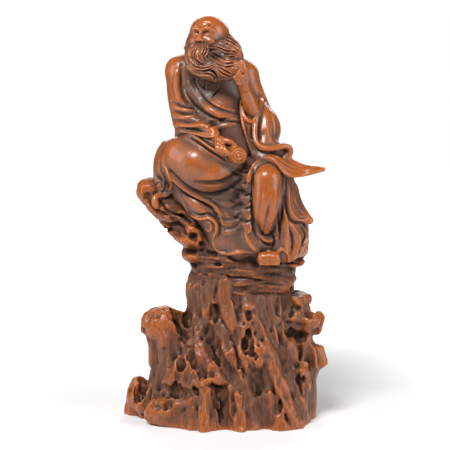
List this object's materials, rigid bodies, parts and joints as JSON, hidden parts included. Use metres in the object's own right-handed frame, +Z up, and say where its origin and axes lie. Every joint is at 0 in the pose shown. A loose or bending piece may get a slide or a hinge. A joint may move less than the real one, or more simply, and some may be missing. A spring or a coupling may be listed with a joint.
{
  "type": "carved wooden daruma figure",
  "caption": "Carved wooden figure of a bearded robed sage seated on a gnarled root, one leg bent and one hanging; stands freely on the root's flat sole as an ornament.",
  "frame": {"origin": "on the flat sole of the root, under the middle of the figure", "axes": "+Z up, +X to the viewer's right as the figure faces the viewer, +Y to the figure's back"},
  "size_m": [0.1219, 0.0799, 0.2405],
  "materials": {
    "boxwood": "stained and waxed boxwood, polished orange-brown on the high places and dull grey-brown in the hollows"
  },
  "bodies": {
    "root": {"daruma_carving": "boxwood"}
  },
  "joints": []
}
